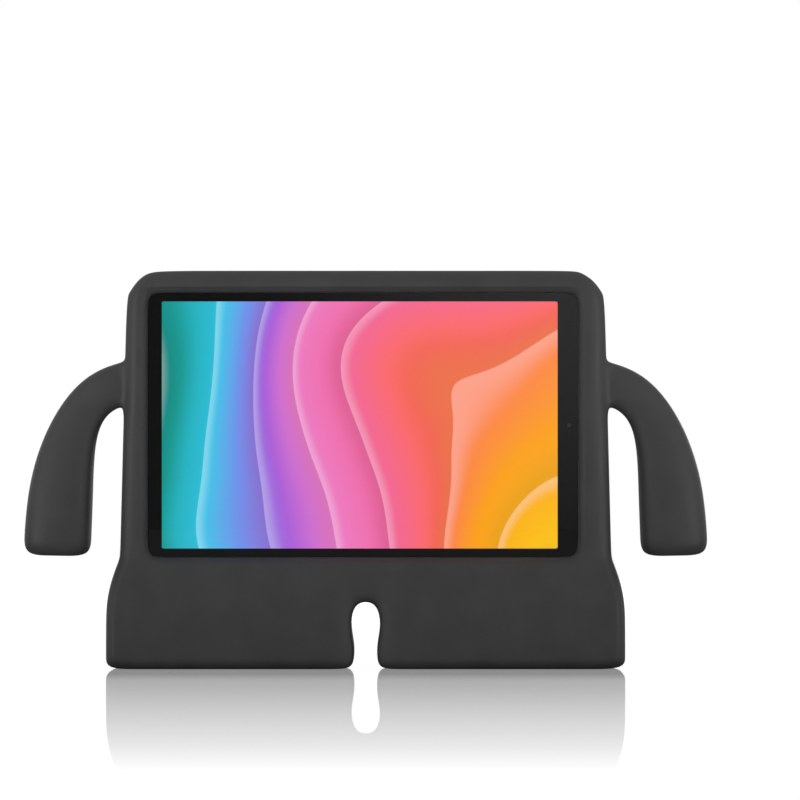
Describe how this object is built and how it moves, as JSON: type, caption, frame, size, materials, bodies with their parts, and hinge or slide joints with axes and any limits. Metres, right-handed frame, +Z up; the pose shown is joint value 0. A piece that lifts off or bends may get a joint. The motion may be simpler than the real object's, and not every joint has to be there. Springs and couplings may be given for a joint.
{
  "type": "kids tablet case",
  "caption": "Moulded foam tablet case that stands on its feet, with two arm-like side handles, a screen window and a tablet seated in its pocket.",
  "frame": {"origin": "on the surface that the feet stand on, under the middle of the case", "axes": "+Z up; the screen faces -Y; +X to the right as seen from the front"},
  "size_m": [0.3748, 0.042, 0.218],
  "materials": {
    "eva_foam": "charcoal EVA foam with a matt moulded skin",
    "cover_glass": "polished cover glass",
    "display": null,
    "aluminium": "blue-grey bead-blasted anodised",
    "circuit_board": "green solder mask",
    "battery_wrap": "dark film wrap",
    "steel": "plain stamped steel",
    "black_plastic": "matt black moulded plastic",
    "lens": "coated dark lens glass"
  },
  "bodies": {
    "case_and_tablet": {"foam_case": "eva_foam", "cover_glass": "cover_glass", "display_panel": "display", "mid_frame": "aluminium", "back_shell": "aluminium", "key_board": "circuit_board", "battery": "battery_wrap", "main_board": "circuit_board", "port_board": "circuit_board", "usb_socket": "steel", "upper_speaker": "black_plastic", "lower_speaker": "black_plastic", "rear_camera": "black_plastic", "rear_lens": "lens", "front_camera": "lens"},
    "power_key": {"power_key": "aluminium"},
    "volume_key": {"volume_key": "aluminium"}
  },
  "joints": [
    {"name": "power_press", "type": "slide", "parent": "case_and_tablet", "child": "power_key", "axis": [0, 0, -1], "range_m": [0, 0.0003], "stiffness_N_per_m": 1000},
    {"name": "volume_rock", "type": "hinge", "parent": "case_and_tablet", "child": "volume_key", "pos_m": [-0.0597, -0.00075, 0.2063], "axis": [0, 1, 0], "range_deg": [-1.2, 1.2], "stiffness_Nm_per_rad": 0.05}
  ]
}
